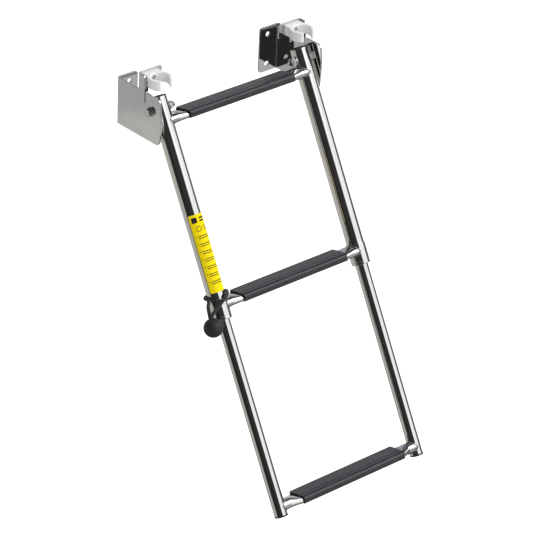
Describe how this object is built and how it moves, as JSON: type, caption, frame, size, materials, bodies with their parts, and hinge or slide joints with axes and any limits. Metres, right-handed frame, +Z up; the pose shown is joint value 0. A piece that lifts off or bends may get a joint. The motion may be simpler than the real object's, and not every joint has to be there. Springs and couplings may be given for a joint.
{
  "type": "telescoping boat boarding ladder",
  "caption": "Folding boat boarding ladder: telescoping polished tube frame with ribbed black treads, hinged to transom brackets with nylon tube clips and a ball-ended cord tie.",
  "frame": {"origin": "centre of the four transom bolt holes, on the mounting plane of the two bracket flanges", "axes": "+Y into the transom along the mounting bolts, +Z up, +X to the right along the rungs"},
  "size_m": [0.375, 0.4262, 0.6656],
  "materials": {
    "polished_tube": "mirror polished stainless tube",
    "polished_sheet": "polished stainless sheet",
    "steel_fastener": "polished stainless fastener",
    "white_nylon": "satin white nylon",
    "natural_nylon": "plain nylon bush",
    "tread_plastic": "ribbed satin black plastic",
    "cap_plastic": "moulded black plastic",
    "label_film": "yellow printed film",
    "shock_cord": "braided black cord",
    "ball_plastic": "matte moulded ball"
  },
  "bodies": {
    "brackets": {"bracket_left": "polished_sheet", "bracket_right": "polished_sheet", "tube_clip_left": "white_nylon", "tube_clip_right": "white_nylon", "clip_screws": "steel_fastener", "clip_nuts": "steel_fastener", "hinge_bolts": "steel_fastener", "outer_washers": "steel_fastener", "inner_washers": "steel_fastener", "acorn_nuts": "steel_fastener"},
    "upper_frame": {"hinge_bushes": "natural_nylon", "upper_tube_left": "polished_tube", "upper_tube_right": "polished_tube", "upper_tube_caps": "cap_plastic", "collar_left": "polished_tube", "collar_right": "polished_tube", "guide_bushes": "natural_nylon", "top_rung": "polished_tube", "middle_rung": "polished_tube", "top_tread": "tread_plastic", "middle_tread": "tread_plastic", "safety_label": "label_film", "tie_loop": "shock_cord"},
    "lower_frame": {"lower_tube_left": "polished_tube", "lower_tube_right": "polished_tube", "bottom_rung": "polished_tube", "bottom_tread": "tread_plastic", "slide_plugs": "natural_nylon", "foot_caps": "cap_plastic"},
    "tie": {"tie_strands": "shock_cord", "tie_ball": "ball_plastic"}
  },
  "joints": [
    {"name": "frame_swing", "type": "hinge", "parent": "brackets", "child": "upper_frame", "pos_m": [0, -0.085, 0.012], "axis": [-1, 0, 0], "range_deg": [-28.5, 155]},
    {"name": "lower_slide", "type": "slide", "parent": "upper_frame", "child": "lower_frame", "axis": [0, 0.4772, 0.8788], "range_m": [0, 0.282]},
    {"name": "tie_swing", "type": "hinge", "parent": "upper_frame", "child": "tie", "pos_m": [-0.1716, -0.24039, -0.26582], "axis": [0, 0.8788, -0.4772], "range_deg": [0, 90]}
  ]
}
